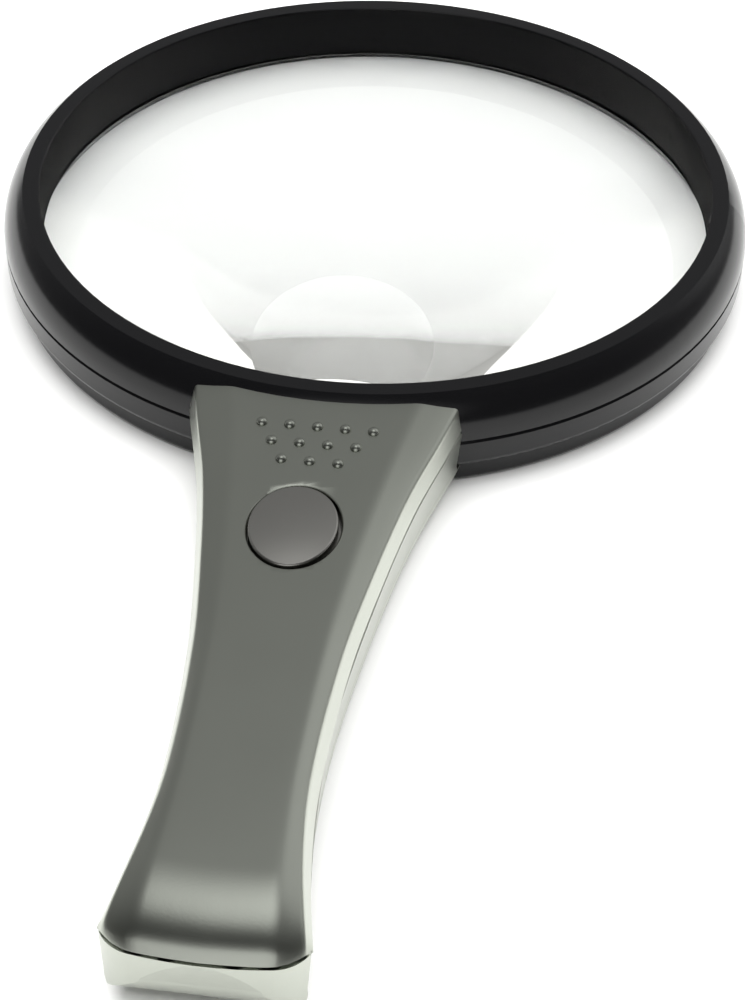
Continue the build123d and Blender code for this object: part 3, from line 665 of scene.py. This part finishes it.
class MAGNIFIER_OT_inner(bpy.types.Operator):
    """Finish the boards, contacts, cells, leads and screws"""

    bl_idname = "magnifier.inner"
    bl_label = "Inner Parts"

    def execute(self, context):
        dress(["circuit_board", "led_board"], plastic("board_green", BOARD_GREEN, 0.35, 0.1))
        dress(["resistor"], plastic("resistor_black", RESISTOR_BLACK, 0.4, 0.1))
        dress(["battery_front", "battery_rear"], plastic("cell_jacket", JACKET_BLUE, 0.25, 0.05))
        dress(["red_lead"], plastic("lead_red", LEAD_RED, 0.35, 0.05))
        dress(["black_lead"], plastic("lead_black", LEAD_BLACK, 0.35, 0.05))
        metal = finish_settings().metal
        nickel = plated_metal("contact_nickel", metal, 0.3)
        dress(["positive_contact", "negative_spring", "negative_strip"], nickel)
        dress(["switch_dome"], plated_metal("dome_steel", metal, 0.25))
        dress(["handle_screws", "board_screws"], plated_metal("screw_zinc", SCREW_ZINC, 0.35))
        return {"FINISHED"}


class MAGNIFIER_OT_stage(bpy.types.Operator):
    """Set the floor, the studio light, the world and the camera"""

    bl_idname = "magnifier.stage"
    bl_label = "Stage"

    def execute(self, context):
        self.add_floor()
        self.add_panel()
        self.add_world()
        context.scene.view_settings.view_transform = "Standard"
        self.add_camera(context.scene.magnifier_camera)
        return {"FINISHED"}

    def add_floor(self):
        """Pale floor just below the plane that the ring rests on."""
        mesh = bpy.data.meshes.new("studio_floor")
        corners = [(-1, -1), (1, -1), (1, 1), (-1, 1)]
        mesh.from_pydata([(x * FLOOR_HALF, y * FLOOR_HALF, 0) for x, y in corners], [], [(0, 1, 2, 3)])
        floor = bpy.data.objects.new("studio_floor", mesh)
        bpy.context.scene.collection.objects.link(floor)
        floor.location.z = -FLOOR_DROP
        material, _, _ = new_material("floor_pale", Base_Color=finish_settings().floor, Roughness=0.9)
        mesh.materials.append(material)

    def add_panel(self):
        """Large soft light above the object, kept out of its reflections."""
        light = bpy.data.lights.new("sky_panel", "AREA")
        light.size = PANEL_SIZE
        light.energy = PANEL_POWER
        lamp = bpy.data.objects.new("sky_panel", light)
        lamp.location = PANEL_PLACE
        lamp.rotation_mode = "QUATERNION"
        lamp.rotation_quaternion = (-Vector(PANEL_PLACE)).to_track_quat("-Z", "Y")
        lamp.visible_glossy = False
        bpy.context.scene.collection.objects.link(lamp)

    def add_world(self):
        """Dim studio with soft panels, which the lacquer and the ring reflect."""
        world = bpy.data.worlds.new("studio")
        world.use_nodes = True
        tree = world.node_tree
        place = tree.nodes.new("ShaderNodeTexCoord")
        light = STUDIO_HAZE
        for axis, start, full, strength in STUDIO_PANELS:
            mask = self.direction_mask(tree, place.outputs["Generated"], axis, start, full)
            light = math_node(tree, "ADD", math_node(tree, "MULTIPLY", mask, strength), light)
        tree.links.new(light, tree.nodes["Background"].inputs["Strength"])
        tree.nodes["Background"].inputs["Color"].default_value = (1, 1, 1, 1)
        bpy.context.scene.world = world

    def direction_mask(self, tree, direction, axis, low, high):
        """A soft mask round an axis, from 0 to 1 as the cosine goes from low to high."""
        dot = tree.nodes.new("ShaderNodeVectorMath")
        dot.operation = "DOT_PRODUCT"
        dot.inputs[1].default_value = axis
        tree.links.new(direction, dot.inputs[0])
        ramp = tree.nodes.new("ShaderNodeMapRange")
        ramp.interpolation_type = "SMOOTHSTEP"
        ramp.inputs["From Min"].default_value = low
        ramp.inputs["From Max"].default_value = high
        tree.links.new(dot.outputs["Value"], ramp.inputs["Value"])
        return ramp.outputs["Result"]

    def add_camera(self, view):
        """Place the camera by its angles about the point that it looks at."""
        target = LENS_CENTRE + Vector((view.side, -view.reach, RING_HEIGHT))
        back = Vector(
            (
                sin(view.azimuth) * cos(view.elevation),
                -cos(view.azimuth) * cos(view.elevation),
                sin(view.elevation),
            )
        )
        level_right = (-back).cross(Vector((0, 0, 1))).normalized()
        level_up = level_right.cross(-back)
        right = cos(view.roll) * level_right + sin(view.roll) * level_up
        up = cos(view.roll) * level_up - sin(view.roll) * level_right
        data = bpy.data.cameras.new("studio_camera")
        data.sensor_width = 36.0
        data.lens = view.focal
        data.clip_start = 0.01
        camera = bpy.data.objects.new("studio_camera", data)
        axes = Matrix((right, up, back)).transposed()
        camera.matrix_world = Matrix.Translation(target + view.distance * back) @ axes.to_4x4()
        bpy.context.scene.collection.objects.link(camera)
        bpy.context.scene.camera = camera


# ------------------------------------------------------------------ panel and registration
class MAGNIFIER_PT_panel(bpy.types.Panel):
    """Builds the magnifier piece by piece"""

    bl_idname = "MAGNIFIER_PT_panel"
    bl_label = "Low Vision Magnifier"
    bl_space_type = "VIEW_3D"
    bl_region_type = "UI"
    bl_category = "Magnifier"

    def draw(self, context):
        for operator in OPERATORS:
            self.layout.operator(operator.bl_idname)
        for name in SETTINGS:
            settings = getattr(context.scene, name)
            column = self.layout.column()
            for key in settings.__annotations__:
                column.prop(settings, key)


SETTINGS = {
    "magnifier_finish": MagnifierFinish,
    "magnifier_handle": MagnifierHandle,
    "magnifier_camera": MagnifierCamera,
}
OPERATORS = (
    MAGNIFIER_OT_ring,
    MAGNIFIER_OT_lens,
    MAGNIFIER_OT_handle,
    MAGNIFIER_OT_button,
    MAGNIFIER_OT_light,
    MAGNIFIER_OT_inner,
    MAGNIFIER_OT_stage,
)
CLASSES = (*SETTINGS.values(), *OPERATORS, MAGNIFIER_PT_panel)


def register():
    for cls in CLASSES:
        bpy.utils.register_class(cls)
    for name, cls in SETTINGS.items():
        setattr(bpy.types.Scene, name, PointerProperty(type=cls))


def unregister():
    for name in SETTINGS:
        delattr(bpy.types.Scene, name)
    for cls in reversed(CLASSES):
        bpy.utils.unregister_class(cls)


def main():
    """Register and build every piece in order."""
    register()
    for operator in OPERATORS:
        group, name = operator.bl_idname.split(".")
        getattr(getattr(bpy.ops, group), name)()


if __name__ == "__main__":
    main()
